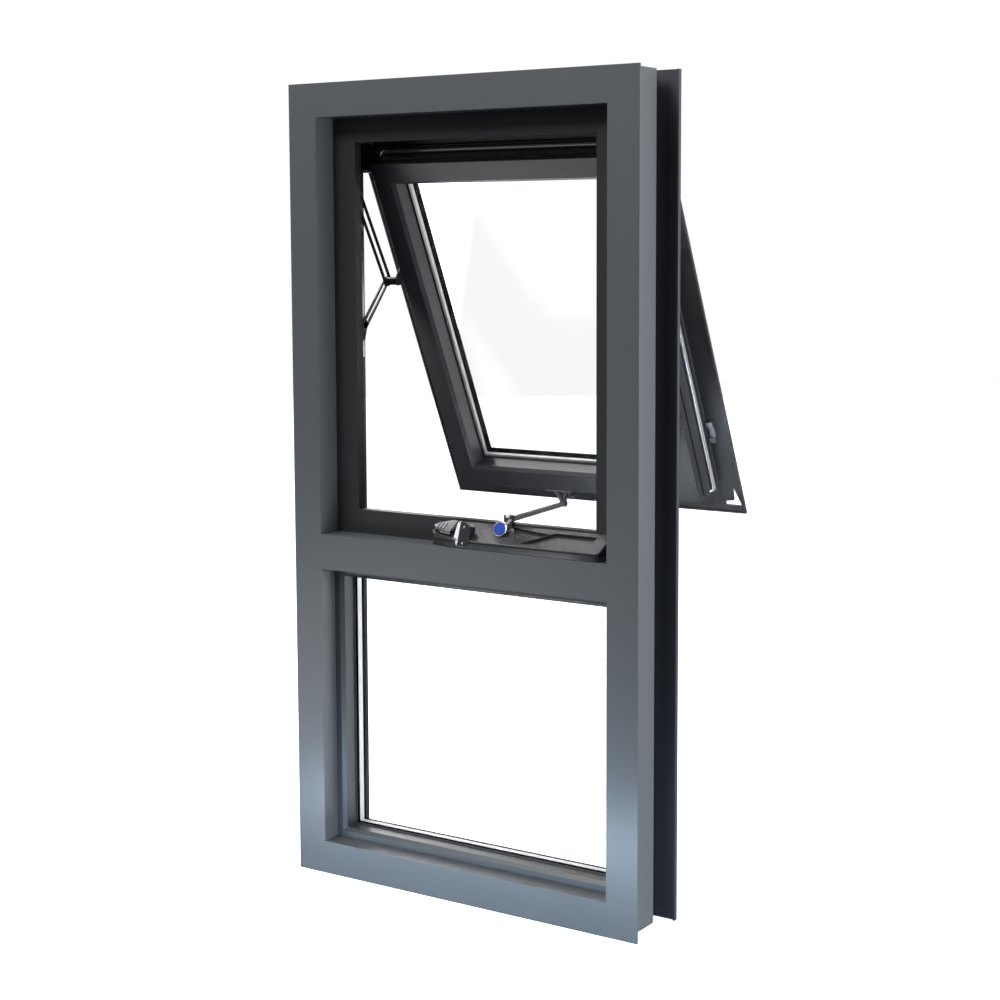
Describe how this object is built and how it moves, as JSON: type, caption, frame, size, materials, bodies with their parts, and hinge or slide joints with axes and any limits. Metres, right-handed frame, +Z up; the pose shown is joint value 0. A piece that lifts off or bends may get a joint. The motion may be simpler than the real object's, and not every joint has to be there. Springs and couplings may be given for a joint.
{
  "type": "awning window over a fixed light",
  "caption": "Slate grey metal window frame: top-hung awning sash standing open on scissor stays with a chain winder, over a fixed glazed light.",
  "frame": {"origin": "middle of the flat underside of the frame's body, where the window stands in its wall opening", "axes": "+X to the right seen from the room, +Y from the room to the outside, +Z up"},
  "size_m": [0.6, 0.3977, 1.2],
  "materials": {
    "bead_coating": "satin dark grey powder coating",
    "button_blue": "glossy blue",
    "button_chrome": "polished chrome",
    "chain_steel": "dark steel",
    "clear_glass": "clear polished glass",
    "frame_coating": "satin slate grey powder coating",
    "rubber_seal": "matt black rubber",
    "sash_coating": "satin near-black powder coating",
    "spacer_bar": "matt spacer bar",
    "stay_black": "black coated steel",
    "stay_steel": "satin stainless steel",
    "stop_coating": "satin near-black powder coating",
    "winder_black": "black textured housing"
  },
  "bodies": {
    "root": {"button_cap": "button_blue", "button_ring": "button_chrome", "chain": "chain_steel", "chain_bracket": "chain_steel", "crank_grip": "winder_black", "crank_hinge": "winder_black", "fixed_bead_bottom": "bead_coating", "fixed_bead_left": "bead_coating", "fixed_bead_right": "bead_coating", "fixed_bead_top": "bead_coating", "fixed_gasket": "rubber_seal", "fixed_pane_inner": "clear_glass", "fixed_pane_outer": "clear_glass", "fixed_spacer": "spacer_bar", "head": "frame_coating", "left_jamb": "frame_coating", "left_stop": "stop_coating", "lower_stop": "stop_coating", "right_jamb": "frame_coating", "right_stop": "stop_coating", "sash_bead_bottom": "sash_coating", "sash_bead_left": "sash_coating", "sash_bead_right": "sash_coating", "sash_bead_top": "sash_coating", "sash_bottom_rail": "sash_coating", "sash_bracket_left": "stay_black", "sash_bracket_right": "stay_black", "sash_gasket": "rubber_seal", "sash_left_stile": "sash_coating", "sash_pane_inner": "clear_glass", "sash_pane_outer": "clear_glass", "sash_right_stile": "sash_coating", "sash_spacer": "spacer_bar", "sash_top_rail": "sash_coating", "sill": "frame_coating", "stay_lower_arm_left": "stay_steel", "stay_lower_arm_right": "stay_steel", "stay_track_left": "stay_steel", "stay_track_right": "stay_steel", "stay_upper_arm_left": "stay_black", "stay_upper_arm_right": "stay_black", "stop_seal": "rubber_seal", "transom": "frame_coating", "upper_stop": "stop_coating", "winder_base": "winder_black", "winder_cover": "winder_black"}
  },
  "joints": []
}
